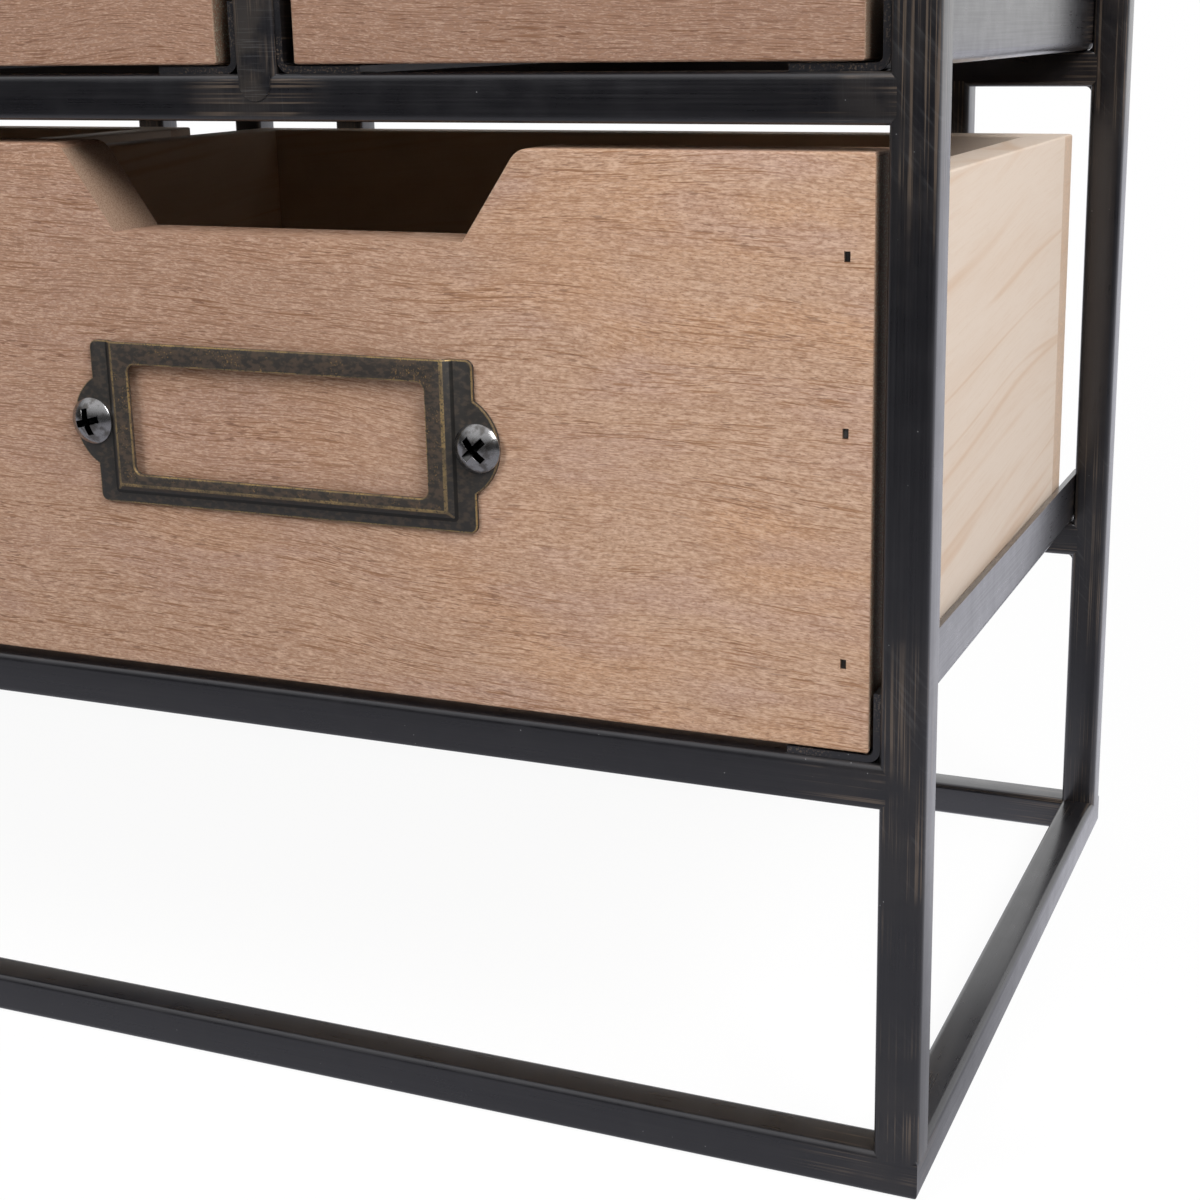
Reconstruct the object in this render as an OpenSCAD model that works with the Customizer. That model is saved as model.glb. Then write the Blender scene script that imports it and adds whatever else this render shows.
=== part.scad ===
// Tabletop chest of drawers: a welded square-tube frame of two bays, side by side.
// Each bay carries one wide drawer below two small ones.
// Millimetres. X runs to the right, Y to the rear, Z up. The origin is on the floor, under the middle.

/* [Frame] */
// Width over the posts
frame_w = 468; // [448:1:630]
// Depth over the posts
frame_d = 178; // [140:1:240]
// Height of the lower rails' underside above the floor
leg_h = 71; // [30:0.5:120]
// Clear height between one rail and the next
tier_gap = 102.5; // [92:0.5:140]
// Square tube, across its flats
tube = 8; // [7:0.5:10]
// Wall of the tube
tube_wall = 1; // [0.8:0.1:1.5]
// Outer corner radius of the tube
tube_r = 1.3; // [0.8:0.1:2]
// Middle of each bay's inner rear stop bar, out from the middle of the chest
inner_stop = 31.5; // [29:0.5:60]
// Middle of each bay's outer rear stop bar, in from the frame's side
outer_stop = 40; // [28:1:60]

/* [Runners] */
// Height of the standing leg
runner_leg_v = 12; // [8:0.5:20]
// Width of the flat leg
runner_leg_h = 16; // [8:0.5:18]
// Thickness of the bent strip
runner_t = 1.2; // [0.8:0.1:2]
// Inner radius of the bend
runner_bend_r = 1; // [0.5:0.1:2]
// How far the ends lie behind the frame's faces
runner_inset = 1; // [0.5:0.1:3]

/* [Drawers] */
// Room between a drawer's back and the stop bars
rear_room = 9; // [4:0.5:40]
// Gap above the runner's flat leg
drawer_lift = 0.3; // [0.2:0.05:0.6]
// Gap between a front's top edge and the rail above it
head_gap = 4; // [2:0.5:8]
// Gap between a wide drawer and the runner at the chest's side
wide_side_gap = 0.65; // [0.3:0.05:2]
// Gap between a wide drawer and the runner at the chest's middle
wide_inner_gap = 6.5; // [0.3:0.1:8]
// Gap at each side of a small drawer
small_side_gap = 2.5; // [0.5:0.1:3]
// Wide drawers' faces, behind the frame's front
wide_recess = 0.8; // [0:0.1:3]
// Small drawers' faces, behind the frame's front
small_recess = 0.2; // [0:0.1:3]
// Front board's thickness
front_t = 13; // [8:0.5:16]
// Side boards' thickness
side_t = 9; // [6:0.5:12]
// Back board's thickness
back_t = 9; // [6:0.5:12]
// Side and back boards' top edges, below the front's
side_drop = 6; // [0:0.5:12]
// Bottom panel's thickness
bottom_t = 3; // [2.5:0.5:5]
// Bottom panel's underside, above the boards' lower edges
bottom_inset = 4; // [3:0.5:8]
// Depth of the grooves that hold the bottom panel
groove_d = 4; // [2:0.5:5]
// Gap above the bottom panel, and past its edges, in the grooves
groove_gap = 0.2; // [0.1:0.05:0.5]
// Radius of the boards' corners
board_r = 0.8; // [0.3:0.1:2]
// Radius of the boards' eased edges
edge_r = 0.5; // [0.2:0.1:1]

/* [Finger notch] */
// Depth below the front's top edge
notch_depth = 15.5; // [10:0.5:18]
// Flat width at the foot of a wide drawer's notch
wide_notch_w = 70; // [40:1:120]
// Flat width at the foot of a small drawer's notch
small_notch_w = 34; // [20:1:44]
// Sideways run of each sloping end
notch_run = 10.6; // [4:0.1:14]
// Radius of the upper corners
notch_r = 4; // [3:0.5:10]

/* [Label holder] */
// Width of the plate without its ears
label_w = 78.4; // [66:0.2:84]
// Height of the plate
label_h = 30.2; // [26:0.2:34]
// Middle of the plate, above the front's lower edge
label_z = 46.7; // [36:0.1:52]
// Thickness of the sheet
label_sheet = 0.8; // [0.5:0.1:1.2]
// Height of the raised frame above the flange, which is the room for the card
label_rise = 1.2; // [0.8:0.1:2]
// Sideways run of the raised frame's sloping edge
label_slope = 1.4; // [0.8:0.1:2]
// Flange at each side of the raised frame
label_flange = 3.9; // [3:0.1:5]
// Flange below the raised frame
label_foot = 2.2; // [1.5:0.1:3]
// Raised frame's face, at each side of the window
label_bar = 3.45; // [2.5:0.05:5]
// Raised frame's face above the window
label_bar_top = 4; // [2.5:0.1:6]
// Raised frame's face below the window
label_bar_foot = 2.2; // [1.5:0.1:4]
// Radius of the plate's corners
label_r = 1.4; // [0.5:0.1:2]
// Radius of the window's corners
window_r = 1.6; // [0.5:0.1:3]
// Ears: how far they stand out beyond the plate
ear_out = 4.6; // [3:0.1:5]
// Ears: radius of the round edge
ear_r = 9.4; // [8:0.1:12]

/* [Fasteners] */
// Label screws: diameter of the domed head
screw_head_d = 8.8; // [7:0.1:9.4]
// Label screws: height of the head
screw_head_h = 2.2; // [1.6:0.1:3]
// Label screws: diameter of the shank
screw_d = 3; // [2:0.1:3.6]
// Label screws: length of the shank under the head
screw_len = 8; // [5:0.5:10]
// Label screws: tip-to-tip width of the cross recess
recess_w = 5; // [3.5:0.1:5.6]
// Label screws: width of one arm of the cross recess
recess_arm = 1.3; // [0.8:0.1:1.6]
// Label screws: depth of the cross recess
recess_d = 1.6; // [1:0.1:1.8]
// Label screws: turn of the left and the right cross recess, in degrees
screw_turn = [14, 42];
// Brad marks: width across the side board's end
brad_w = 1; // [0.8:0.1:1.2]
// Brad marks: height
brad_h = 1.7; // [1.2:0.1:2.2]
// Brad marks: depth of the sunk head below the board's face
brad_sunk = 0.4; // [0.2:0.1:1]
// Brad marks: lowest one, above the boards' lower edges
brad_low = 15; // [10:0.5:24]
// Brad marks: highest one, below the side boards' top edges
brad_high = 9.9; // [6:0.1:20]
// Brad marks: middle one, above the midpoint of the others
brad_mid_shift = 5.2; // [-10:0.1:10]

/* [Top] */
// Top panel's thickness
panel_t = 8; // [5:0.5:12]
// Gap round the top panel
panel_gap = 0.4; // [0.3:0.05:1]
// Tabs under the panel: thickness
tab_t = 1.2; // [0.8:0.1:1.6]
// Tabs: width
tab_w = 16; // [12:1:24]
// Tabs: reach under the panel
tab_reach = 14; // [10:0.5:18]
// Tabs: middle of each, in from the frame's front or rear
tab_inset = 45; // [30:1:60]
// Panel screws: diameter of the shank
panel_screw_d = 2.8; // [2.2:0.1:3.2]
// Panel screws: length of the shank under the head
panel_screw_len = 6.5; // [4:0.5:7.5]
// Panel screws: diameter of the head
panel_screw_head_d = 5.6; // [4.6:0.1:6.4]
// Panel screws: height of the head
panel_screw_head_h = 1.2; // [0.8:0.1:1.6]

/* [Hidden] */
$fn = 48;
// Flat steps in a quarter turn of a rounded corner
corner_steps = 5;
// Flat steps in the long arcs of the notch and the ears
arc_steps = 12;
// Radial room round a screw's shank
shank_gap = 0.05;
// Running room between a screw's head and the raised frame beside it
head_room = 0.1;
// Height of the straight rim below the dome of a label screw's head
head_rim = 0.3;
// Narrow end of the cross recess, as a part of its mouth
recess_taper = 0.55;
// Overcut, so that a cut passes its face
cut = 1;

bore = tube - 2 * tube_wall;
bore_r = max(0.2, tube_r - tube_wall);
frame_h = leg_h + 2 * (tube + tier_gap) + tube;
side_x = frame_w / 2;
post_x = side_x - tube / 2;
inner_x = side_x - tube;
face_y = frame_d / 2;
post_y = face_y - tube / 2;
lower_z = leg_h;
upper_z = leg_h + tube + tier_gap;
top_z = frame_h - tube;
lower_deck = lower_z + tube;
upper_deck = upper_z + tube;

// Middle of a bay, its clear width between the posts, and the clear width at each side of its divider
bay_x = post_x / 2;
bay_w = post_x - tube;
half_bay = (bay_w - tube) / 2;

front_h = tier_gap - runner_t - drawer_lift - head_gap;
side_h = front_h - side_drop;
drawer_d = frame_d - tube - rear_room - max(wide_recess, small_recess);
wide_w = bay_w - 2 * runner_t - wide_side_gap - wide_inner_gap;
small_w = half_bay - 2 * (runner_t + small_side_gap);
// Middles of a wide and of a small drawer, from the bay's middle
wide_shift = (wide_inner_gap - wide_side_gap) / 2;
small_x = (tube + half_bay) / 2;

proud = max(0, label_sheet + max(screw_head_h, label_rise) - min(wide_recess, small_recess));
shift_y = proud / 2;

raised_x = label_w / 2 - label_flange;
screw_x = raised_x + screw_head_d / 2 + head_room;
// Level shift of the inner slope, one sheet inside the outer one
slope_len = sqrt(label_slope * label_slope + label_rise * label_rise);
slope_off = label_sheet * (slope_len - label_slope) / label_rise;
window_w = 2 * (raised_x - label_slope - label_bar);
window_low = -label_h / 2 + label_foot + label_slope + label_bar_foot;
window_high = label_h / 2 - label_bar_top;

brad_top = side_h - brad_high;
brad_mid = (brad_low + brad_top) / 2 + brad_mid_shift;
brad_rows = [brad_low, brad_mid, brad_top];

// One drawer: width, foot of its notch, middle in X, seat in Z, recess of its face, shift of its label
function wide_at(side) = [
    wide_w,
    wide_notch_w,
    side * (bay_x + wide_shift),
    lower_deck + runner_t + drawer_lift,
    wide_recess,
    -side * wide_shift];
function small_at(x) = [small_w, small_notch_w, x, upper_deck + runner_t + drawer_lift, small_recess, 0];
LEFT_WIDE = wide_at(-1);
RIGHT_WIDE = wide_at(1);
LEFT_OUTER = small_at(-bay_x - small_x);
LEFT_INNER = small_at(-bay_x + small_x);
RIGHT_INNER = small_at(bay_x - small_x);
RIGHT_OUTER = small_at(bay_x + small_x);

steel = "#2e2d30";
front_wood = "#be9678";
side_wood = "#dec4a5";
bronze = "#4a443c";
nickel = "#77757a";

// Points on an arc round c, from angle a0 to a1
function arc(c, r, a0, a1, n = corner_steps) =
    [for (i = [0:n]) let (a = a0 + (a1 - a0) * i / n) c + r * [cos(a), sin(a)]];

// Outline of a w by h rectangle with round corners, centred
function round_rect(w, h, r) = concat(
    arc([w / 2 - r, h / 2 - r], r, 0, 90),
    arc([-w / 2 + r, h / 2 - r], r, 90, 180),
    arc([-w / 2 + r, -h / 2 + r], r, 180, 270),
    arc([w / 2 - r, -h / 2 + r], r, 270, 360));

// The same points, mirrored left to right and run the other way round
function flip(points) = [for (i = [len(points) - 1:-1:0]) [-points[i][0], points[i][1]]];

// Places a child that is drawn with the frame's middle at X = Y = 0
module in_frame() {
    translate([0, shift_y, 0]) children();
}

// Places a child that is drawn with the drawer's face at Y = 0 and its lower edge at Z = 0
module in_drawer(d) {
    in_frame() translate([d[2], -face_y + d[4], d[3]]) children();
}

// Extrudes a profile drawn in X and Z backwards along Y
module along_y(length) {
    translate([0, length, 0]) rotate([90, 0, 0]) linear_extrude(length) children();
}

// Extrudes a profile drawn in Y and Z along X, centred
module along_x(length) {
    rotate([90, 0, 90]) linear_extrude(length, center = true) children();
}

// Section of the tube. Solid, it is the space that the tube takes up
module tube_section(solid = false) {
    difference() {
        polygon(round_rect(tube, tube, tube_r));
        if (!solid) polygon(round_rect(bore, bore, bore_r));
    }
}

module upright(x, y, z0, z1, solid = false) {
    translate([x, y, z0]) linear_extrude(z1 - z0) tube_section(solid);
}

// Cross rail between left and right, with its middle at y and its underside at z
module cross_rail(y, z, half, solid = false) {
    translate([0, y, z + tube / 2]) along_x(2 * half) tube_section(solid);
}

// Front side of a mitred ring with its underside at z
module ring_front(z, solid = false) {
    intersection() {
        cross_rail(-post_y, z, side_x, solid);
        translate([0, 0, z]) linear_extrude(tube) polygon([
            [-side_x, -face_y],
            [side_x, -face_y],
            [inner_x, -face_y + tube],
            [-inner_x, -face_y + tube]]);
    }
}

// Right-hand side of a mitred ring with its underside at z
module ring_right(z, solid = false) {
    intersection() {
        translate([post_x, -face_y, z + tube / 2]) along_y(frame_d) tube_section(solid);
        translate([0, 0, z]) linear_extrude(tube) polygon([
            [side_x, -face_y],
            [side_x, face_y],
            [inner_x, face_y - tube],
            [inner_x, -face_y + tube]]);
    }
}

// Front right post, fitted over the round edges of both rings
module post() {
    difference() {
        upright(post_x, -post_y, tube - tube_r, top_z + tube_r);
        for (z = [0, top_z]) {
            ring_front(z, solid = true);
            ring_right(z, solid = true);
        }
    }
}

// Front rail of a tier, fitted round the posts' edges so that the faces run flush
module tier_rail(z) {
    difference() {
        cross_rail(-post_y, z, inner_x + tube_r);
        for (side = [-1, 1])
            upright(side * post_x, -post_y, z - cut, z + tube + cut, solid = true);
    }
}

// Front upright at x between two rails, fitted over their round edges
module strut(x, z0, z1) {
    difference() {
        upright(x, -post_y, z0 - tube_r, z1 + tube_r);
        for (z = [z0 - tube, z1])
            cross_rail(-post_y, z, inner_x, solid = true);
    }
}

// Front uprights at x, one in each tier
module tier_struts(x) {
    strut(x, lower_deck, upper_z);
    strut(x, upper_deck, top_z);
}

// Section of a runner for the right-hand side: standing leg at X = 0, flat leg to the left
function runner_outline() = let (r = runner_bend_r, t = runner_t) concat(
    arc([-r - t, r + t], r + t, -90, 0),
    [[0, runner_leg_v], [-t, runner_leg_v]],
    arc([-r - t, r + t], r, 0, -90),
    [[-runner_leg_h, t], [-runner_leg_h, 0]]);

// Two runners on the deck at z, for a drawer with its middle at x in a clear width of w
module runner_pair(x, w, z) {
    for (side = [0, 1])
        translate([x, 0, 0]) mirror([side, 0, 0]) translate([w / 2, -face_y + runner_inset, z])
            along_y(frame_d - 2 * runner_inset) polygon(runner_outline());
}

// Space of a w by h board of thickness t with eased edges, outer face at Y = 0 and lower edge at Z = 0.
// The inner upright edges stay square, where the side boards meet them
module eased_space(w, t, h) {
    r = edge_r;
    intersection() {
        linear_extrude(h) polygon(concat(
            arc([w / 2 - r, r], r, -90, 0),
            [[w / 2, t], [-w / 2, t]],
            arc([-w / 2 + r, r], r, 180, 270)));
        translate([0, t / 2, h / 2]) along_x(w) polygon(round_rect(t, h, r));
    }
}

// Right half of a front board's outline, from the notch's foot round to the lower edge
function front_half(w, notch_w) = let (
    slope = atan2(notch_depth, notch_run),
    reach = notch_r * tan(slope / 2),
    foot_x = notch_w / 2,
    corner_x = foot_x + notch_run,
    r = board_r) concat(
    [[foot_x, front_h - notch_depth]],
    arc([corner_x + reach, front_h - notch_r], notch_r, 90 + slope, 90, arc_steps),
    arc([w / 2 - r, front_h - r], r, 90, 0),
    arc([w / 2 - r, r], r, 0, -90));

// Space for the bottom panel, with its edges and its upper face let out by gap
module bottom_space(w, gap) {
    width = w - 2 * (side_t - groove_d);
    depth = drawer_d - front_t - back_t + 2 * groove_d;
    translate([-width / 2 + groove_gap - gap, front_t - groove_d + groove_gap - gap, bottom_inset])
        cube([width - 2 * (groove_gap - gap), depth - 2 * (groove_gap - gap), bottom_t + gap]);
}

// Pockets over the sunk heads of the brads, in a board whose outer face is at Y = 0
module brad_marks(w) {
    for (x = [-1, 1] * (w - side_t) / 2, z = brad_rows)
        translate([x - brad_w / 2, -cut, z - brad_h / 2]) cube([brad_w, cut + brad_sunk, brad_h]);
}

module drawer_front(d) {
    half = front_half(d[0], d[1]);
    difference() {
        intersection() {
            along_y(front_t) polygon(concat(half, flip(half)));
            eased_space(d[0], front_t, front_h);
        }
        bottom_space(d[0], groove_gap);
        brad_marks(d[0]);
        for (side = [-1, 1])
            translate([d[5] + side * screw_x, -cut, label_z]) rotate([-90, 0, 0])
                cylinder(d = screw_d + 2 * shank_gap, h = cut + screw_len - label_sheet + shank_gap);
    }
}

// Both side boards, between the front and the back
module drawer_sides(d) {
    difference() {
        for (side = [-1, 1])
            translate([side * (d[0] - side_t) / 2, front_t, side_h / 2])
                along_y(drawer_d - front_t - back_t) polygon(round_rect(side_t, side_h, edge_r));
        bottom_space(d[0], groove_gap);
    }
}

module drawer_back(d) {
    difference() {
        translate([0, drawer_d, 0]) mirror([0, 1, 0]) difference() {
            intersection() {
                translate([0, 0, side_h / 2]) along_y(back_t) polygon(round_rect(d[0], side_h, board_r));
                eased_space(d[0], back_t, side_h);
            }
            brad_marks(d[0]);
        }
        bottom_space(d[0], groove_gap);
    }
}

// Right half of the plate's outline, from its lower edge round to its upper edge
function plate_half() = let (
    x = label_w / 2,
    z = label_h / 2,
    r = label_r,
    ear_x = x + ear_out - ear_r,
    ear_a = acos((x - ear_x) / ear_r)) concat(
    arc([x - r, -z + r], r, -90, 0),
    arc([ear_x, 0], ear_r, -ear_a, ear_a, arc_steps),
    arc([x - r, z - r], r, 0, 90));

// Raised block with sloping sides and foot, open at the top edge. Its base is half_x wide each way from the
// middle and starts at low, at depth y0, and it stands up by label_rise towards the front
module relief(half_x, low, y0, base, top) {
    intersection() {
        translate([0, 0, low - cut]) linear_extrude(top - low + cut) polygon([
            [-half_x, base],
            [-half_x, y0],
            [-half_x + label_slope, y0 - label_rise],
            [half_x - label_slope, y0 - label_rise],
            [half_x, y0],
            [half_x, base]]);
        along_x(label_w) polygon([
            [base, low],
            [y0, low],
            [y0 - label_rise, low + label_slope],
            [y0 - label_rise, top],
            [base, top]]);
    }
}

// Stamped holder: flat flange and ears against the wood, raised frame round the window, open above for a card
module label_holder(d) {
    right_half = plate_half();
    low = -label_h / 2 + label_foot;
    translate([d[5], 0, label_z]) difference() {
        union() {
            rotate([90, 0, 0]) linear_extrude(label_sheet) polygon(concat(right_half, flip(right_half)));
            relief(raised_x, low, -label_sheet, 0, label_h / 2);
        }
        relief(raised_x - slope_off, low + slope_off, 0, cut, label_h / 2 + cut);
        translate([0, 0, (window_low + window_high) / 2]) rotate([90, 0, 0])
            linear_extrude(label_sheet + label_rise + cut)
                polygon(round_rect(window_w, window_high - window_low, window_r));
        for (side = [-1, 1])
            translate([side * screw_x, cut, 0]) rotate([90, 0, 0])
                cylinder(d = screw_d + 2 * shank_gap, h = label_sheet + 2 * cut);
    }
}

// Cross recess, from the top of a head downwards along -Z
module cross_recess() {
    mouth = recess_w / 2;
    for (a = [0, 90])
        rotate([90, 0, a]) linear_extrude(recess_arm, center = true) polygon([
            [-mouth, cut],
            [-mouth, 0],
            [-mouth * recess_taper, -recess_d],
            [mouth * recess_taper, -recess_d],
            [mouth, 0],
            [mouth, cut]]);
}

// Label screw, head up along Z, seated at Z = 0
module label_screw(turn) {
    rise = screw_head_h - head_rim;
    dome_r = (screw_head_d * screw_head_d / 4 + rise * rise) / (2 * rise);
    difference() {
        union() {
            intersection() {
                translate([0, 0, screw_head_h - dome_r]) sphere(r = dome_r);
                cylinder(d = screw_head_d, h = screw_head_h);
            }
            translate([0, 0, -screw_len]) cylinder(d = screw_d, h = screw_len + head_rim);
        }
        translate([0, 0, screw_head_h]) rotate([0, 0, turn]) cross_recess();
    }
}

module label_screws(d) {
    for (i = [0, 1])
        translate([d[5] + (2 * i - 1) * screw_x, -label_sheet, label_z]) rotate([90, 0, 0])
            label_screw(screw_turn[i]);
}

// Repeats a child at each tab's middle, on the frame's inner faces, turned to face inwards
module at_tabs() {
    for (side = [0, 1], y = [-1, 1] * (face_y - tab_inset))
        mirror([side, 0, 0]) translate([inner_x, y, top_z]) children();
}

// Tab, welded under the rail, with a round inner end
module tab() {
    end_r = tab_w / 4;
    translate([0, 0, -tab_t]) difference() {
        linear_extrude(tab_t) polygon(concat(
            [[tube / 2, -tab_w / 2], [tube / 2, tab_w / 2]],
            arc([-tab_reach + end_r, tab_w / 2 - end_r], end_r, 90, 180),
            arc([-tab_reach + end_r, -tab_w / 2 + end_r], end_r, 180, 270)));
        translate([-tab_reach / 2, 0, -cut])
            cylinder(d = panel_screw_d + 2 * shank_gap, h = tab_t + 2 * cut);
    }
}

// Panel screw, driven upwards through a tab
module panel_screw() {
    translate([-tab_reach / 2, 0, -tab_t]) {
        cylinder(d = panel_screw_d, h = panel_screw_len);
        translate([0, 0, -panel_screw_head_h]) cylinder(d = panel_screw_head_d, h = panel_screw_head_h);
    }
}

module front_right_post() color(steel) in_frame() post();
module front_left_post() color(steel) in_frame() mirror([1, 0, 0]) post();
module rear_right_post() color(steel) in_frame() mirror([0, 1, 0]) post();
module rear_left_post() color(steel) in_frame() mirror([1, 0, 0]) mirror([0, 1, 0]) post();

module front_foot_rail() color(steel) in_frame() ring_front(0);
module rear_foot_rail() color(steel) in_frame() mirror([0, 1, 0]) ring_front(0);
module right_foot_rail() color(steel) in_frame() ring_right(0);
module left_foot_rail() color(steel) in_frame() mirror([1, 0, 0]) ring_right(0);

module lower_front_rail() color(steel) in_frame() tier_rail(lower_z);
module lower_rear_rail() color(steel) in_frame() mirror([0, 1, 0]) tier_rail(lower_z);
module upper_front_rail() color(steel) in_frame() tier_rail(upper_z);
module upper_rear_rail() color(steel) in_frame() mirror([0, 1, 0]) tier_rail(upper_z);

module top_front_rail() color(steel) in_frame() ring_front(top_z);
module top_rear_rail() color(steel) in_frame() mirror([0, 1, 0]) ring_front(top_z);
module top_right_rail() color(steel) in_frame() ring_right(top_z);
module top_left_rail() color(steel) in_frame() mirror([1, 0, 0]) ring_right(top_z);

// Middle posts between the bays, and a divider between the two small drawers of each bay
module front_struts() color(steel) in_frame() {
    tier_struts(0);
    for (x = [-1, 1] * bay_x)
        strut(x, upper_deck, top_z);
}

// Middle posts between the bays, and two stop bars behind the drawers of each bay
module rear_struts() color(steel) in_frame() mirror([0, 1, 0]) {
    tier_struts(0);
    for (side = [-1, 1]) {
        tier_struts(side * inner_stop);
        tier_struts(side * (side_x - outer_stop));
    }
}

module lower_runners() color(steel) in_frame()
    for (x = [-1, 1] * bay_x)
        runner_pair(x, bay_w, lower_deck);
module upper_outer_runners() color(steel) in_frame()
    for (x = [-1, 1] * (bay_x + small_x))
        runner_pair(x, half_bay, upper_deck);
module upper_inner_runners() color(steel) in_frame()
    for (x = [-1, 1] * (bay_x - small_x))
        runner_pair(x, half_bay, upper_deck);

module top_panel() {
    width = 2 * (inner_x - panel_gap);
    depth = 2 * (face_y - tube - panel_gap);
    color(front_wood) in_frame() difference() {
        intersection() {
            translate([0, 0, top_z]) linear_extrude(panel_t) polygon(round_rect(width, depth, board_r));
            translate([0, 0, top_z + panel_t / 2]) along_x(width) polygon(round_rect(depth, panel_t, edge_r));
            translate([0, -depth / 2, top_z + panel_t / 2])
                along_y(depth) polygon(round_rect(width, panel_t, edge_r));
        }
        at_tabs() translate([-tab_reach / 2, 0, -cut])
            cylinder(d = panel_screw_d + 2 * shank_gap, h = cut + panel_screw_len - tab_t + shank_gap);
    }
}

module panel_tabs() color(steel) in_frame() at_tabs() tab();
module panel_screws() color(nickel) in_frame() at_tabs() panel_screw();

module left_wide_front() color(front_wood) in_drawer(LEFT_WIDE) drawer_front(LEFT_WIDE);
module left_wide_sides() color(side_wood) in_drawer(LEFT_WIDE) drawer_sides(LEFT_WIDE);
module left_wide_back() color(side_wood) in_drawer(LEFT_WIDE) drawer_back(LEFT_WIDE);
module left_wide_bottom() color(side_wood) in_drawer(LEFT_WIDE) bottom_space(LEFT_WIDE[0], 0);
module left_wide_label_holder() color(bronze) in_drawer(LEFT_WIDE) label_holder(LEFT_WIDE);
module left_wide_label_screws() color(nickel) in_drawer(LEFT_WIDE) label_screws(LEFT_WIDE);

module right_wide_front() color(front_wood) in_drawer(RIGHT_WIDE) drawer_front(RIGHT_WIDE);
module right_wide_sides() color(side_wood) in_drawer(RIGHT_WIDE) drawer_sides(RIGHT_WIDE);
module right_wide_back() color(side_wood) in_drawer(RIGHT_WIDE) drawer_back(RIGHT_WIDE);
module right_wide_bottom() color(side_wood) in_drawer(RIGHT_WIDE) bottom_space(RIGHT_WIDE[0], 0);
module right_wide_label_holder() color(bronze) in_drawer(RIGHT_WIDE) label_holder(RIGHT_WIDE);
module right_wide_label_screws() color(nickel) in_drawer(RIGHT_WIDE) label_screws(RIGHT_WIDE);

module left_outer_front() color(front_wood) in_drawer(LEFT_OUTER) drawer_front(LEFT_OUTER);
module left_outer_sides() color(side_wood) in_drawer(LEFT_OUTER) drawer_sides(LEFT_OUTER);
module left_outer_back() color(side_wood) in_drawer(LEFT_OUTER) drawer_back(LEFT_OUTER);
module left_outer_bottom() color(side_wood) in_drawer(LEFT_OUTER) bottom_space(LEFT_OUTER[0], 0);
module left_outer_label_holder() color(bronze) in_drawer(LEFT_OUTER) label_holder(LEFT_OUTER);
module left_outer_label_screws() color(nickel) in_drawer(LEFT_OUTER) label_screws(LEFT_OUTER);

module left_inner_front() color(front_wood) in_drawer(LEFT_INNER) drawer_front(LEFT_INNER);
module left_inner_sides() color(side_wood) in_drawer(LEFT_INNER) drawer_sides(LEFT_INNER);
module left_inner_back() color(side_wood) in_drawer(LEFT_INNER) drawer_back(LEFT_INNER);
module left_inner_bottom() color(side_wood) in_drawer(LEFT_INNER) bottom_space(LEFT_INNER[0], 0);
module left_inner_label_holder() color(bronze) in_drawer(LEFT_INNER) label_holder(LEFT_INNER);
module left_inner_label_screws() color(nickel) in_drawer(LEFT_INNER) label_screws(LEFT_INNER);

module right_inner_front() color(front_wood) in_drawer(RIGHT_INNER) drawer_front(RIGHT_INNER);
module right_inner_sides() color(side_wood) in_drawer(RIGHT_INNER) drawer_sides(RIGHT_INNER);
module right_inner_back() color(side_wood) in_drawer(RIGHT_INNER) drawer_back(RIGHT_INNER);
module right_inner_bottom() color(side_wood) in_drawer(RIGHT_INNER) bottom_space(RIGHT_INNER[0], 0);
module right_inner_label_holder() color(bronze) in_drawer(RIGHT_INNER) label_holder(RIGHT_INNER);
module right_inner_label_screws() color(nickel) in_drawer(RIGHT_INNER) label_screws(RIGHT_INNER);

module right_outer_front() color(front_wood) in_drawer(RIGHT_OUTER) drawer_front(RIGHT_OUTER);
module right_outer_sides() color(side_wood) in_drawer(RIGHT_OUTER) drawer_sides(RIGHT_OUTER);
module right_outer_back() color(side_wood) in_drawer(RIGHT_OUTER) drawer_back(RIGHT_OUTER);
module right_outer_bottom() color(side_wood) in_drawer(RIGHT_OUTER) bottom_space(RIGHT_OUTER[0], 0);
module right_outer_label_holder() color(bronze) in_drawer(RIGHT_OUTER) label_holder(RIGHT_OUTER);
module right_outer_label_screws() color(nickel) in_drawer(RIGHT_OUTER) label_screws(RIGHT_OUTER);

front_left_post();
front_right_post();
rear_left_post();
rear_right_post();
front_foot_rail();
rear_foot_rail();
left_foot_rail();
right_foot_rail();
lower_front_rail();
lower_rear_rail();
upper_front_rail();
upper_rear_rail();
top_front_rail();
top_rear_rail();
top_left_rail();
top_right_rail();
front_struts();
rear_struts();
lower_runners();
upper_outer_runners();
upper_inner_runners();
top_panel();
panel_tabs();
panel_screws();
left_wide_front();
left_wide_sides();
left_wide_back();
left_wide_bottom();
left_wide_label_holder();
left_wide_label_screws();
right_wide_front();
right_wide_sides();
right_wide_back();
right_wide_bottom();
right_wide_label_holder();
right_wide_label_screws();
left_outer_front();
left_outer_sides();
left_outer_back();
left_outer_bottom();
left_outer_label_holder();
left_outer_label_screws();
left_inner_front();
left_inner_sides();
left_inner_back();
left_inner_bottom();
left_inner_label_holder();
left_inner_label_screws();
right_inner_front();
right_inner_sides();
right_inner_back();
right_inner_bottom();
right_inner_label_holder();
right_inner_label_screws();
right_outer_front();
right_outer_sides();
right_outer_back();
right_outer_bottom();
right_outer_label_holder();
right_outer_label_screws();
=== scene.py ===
import math

import bmesh
import bpy
from bpy.props import FloatProperty, FloatVectorProperty, PointerProperty
from mathutils import Matrix, Vector


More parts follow.
